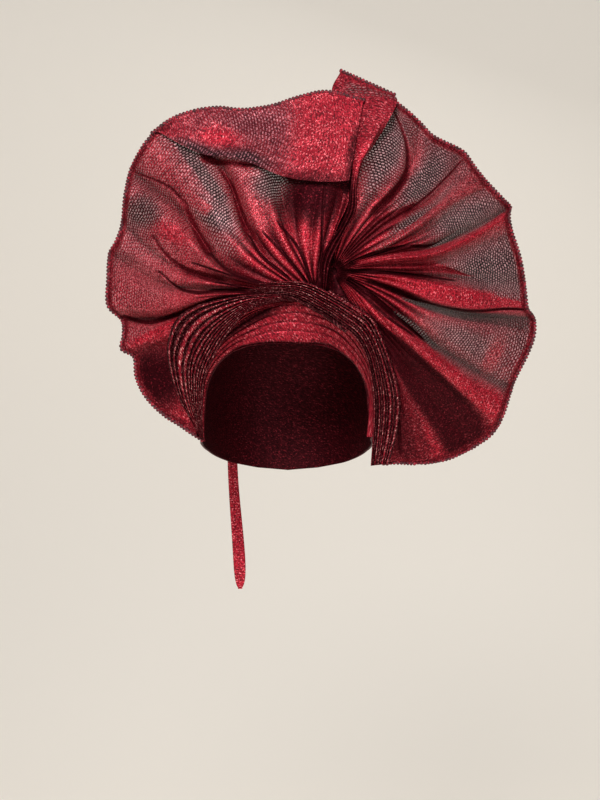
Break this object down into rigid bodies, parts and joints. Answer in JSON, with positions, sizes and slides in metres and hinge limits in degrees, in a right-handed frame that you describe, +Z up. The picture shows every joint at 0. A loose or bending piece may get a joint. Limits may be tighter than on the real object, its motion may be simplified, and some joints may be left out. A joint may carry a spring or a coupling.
{
  "type": "tied gele head tie",
  "caption": "Ready-tied head tie of pleated metallic net: cap, lapped forehead band, pleated wraps, two large fans, top fold, crest, knot and nape strap.",
  "frame": {"origin": "middle of the head opening at the height of the ears", "axes": "+Z up, -Y the way the wearer faces, +X to the right of someone who looks at the front"},
  "size_m": [0.3747, 0.2081, 0.4655],
  "materials": {
    "bright_net": "bright red metallic net in several layers, with glittering thread",
    "deep_net": "wine red metallic net, tightly pleated",
    "sheer_net": "see-through red and black metallic net in one or two layers",
    "strap_cloth": "red glitter cloth strap"
  },
  "bodies": {
    "root": {"cap": "deep_net", "forehead_band": "bright_net", "left_wrap": "deep_net", "right_wrap": "deep_net", "left_fan": "sheer_net", "right_fan": "sheer_net", "top_fold": "bright_net", "crest": "bright_net", "knot": "deep_net", "nape_strap": "strap_cloth"}
  },
  "joints": []
}
